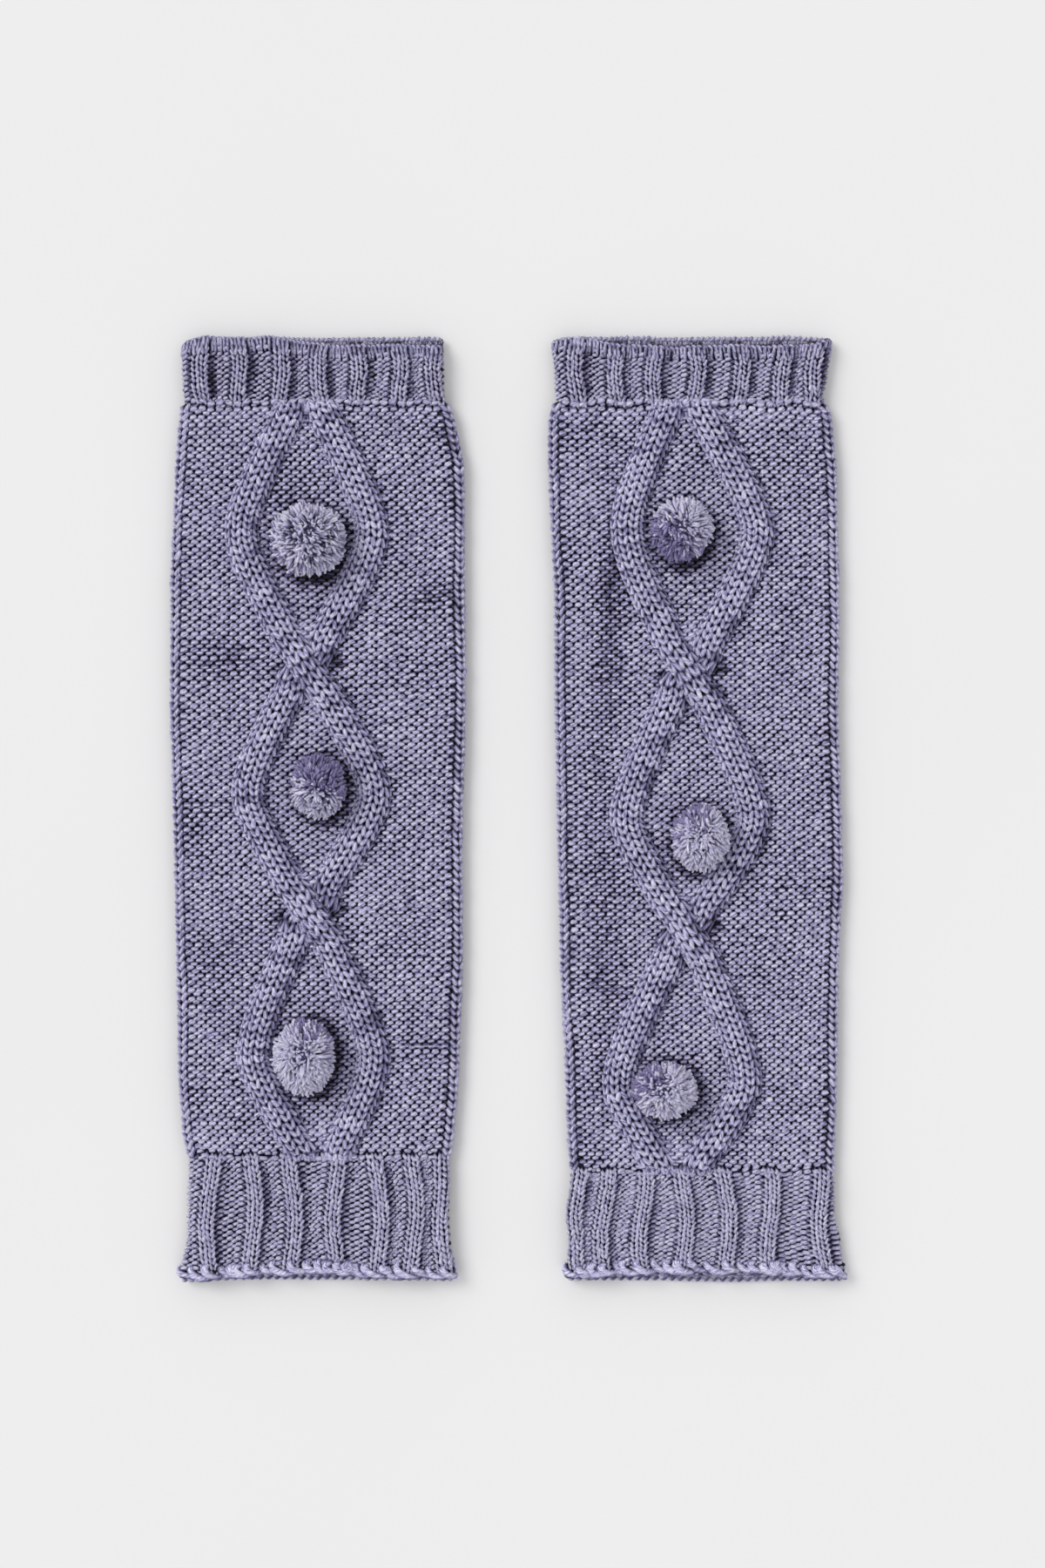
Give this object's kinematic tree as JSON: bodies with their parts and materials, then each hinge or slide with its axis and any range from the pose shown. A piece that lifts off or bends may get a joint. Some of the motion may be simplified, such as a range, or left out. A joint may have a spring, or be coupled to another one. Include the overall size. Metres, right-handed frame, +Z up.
{
  "type": "pair of knitted leg warmers",
  "caption": "Pair of chunky knitted leg warmers laid flat, with ribbed cuffs, a two-cord cable in open lozenges down the front and small yarn pompoms in the lozenges.",
  "frame": {"origin": "centre of the pair's outline seen from above, at the surface it lies on", "axes": "+Y along the legs towards the cast-on cuffs, +X across the pair towards the right-hand warmer, +Z up off the surface"},
  "size_m": [0.2873, 0.4, 0.0316],
  "materials": {
    "marled_yarn": "matte marled knit",
    "pompom_yarn": "matte cut pile"
  },
  "bodies": {
    "root": {"left_top_cuff": "marled_yarn", "left_leg": "marled_yarn", "left_bottom_cuff": "marled_yarn", "left_pompom_1": "pompom_yarn", "left_pompom_2": "pompom_yarn", "left_pompom_3": "pompom_yarn", "right_top_cuff": "marled_yarn", "right_leg": "marled_yarn", "right_bottom_cuff": "marled_yarn", "right_pompom_1": "pompom_yarn", "right_pompom_2": "pompom_yarn", "right_pompom_3": "pompom_yarn"}
  },
  "joints": []
}
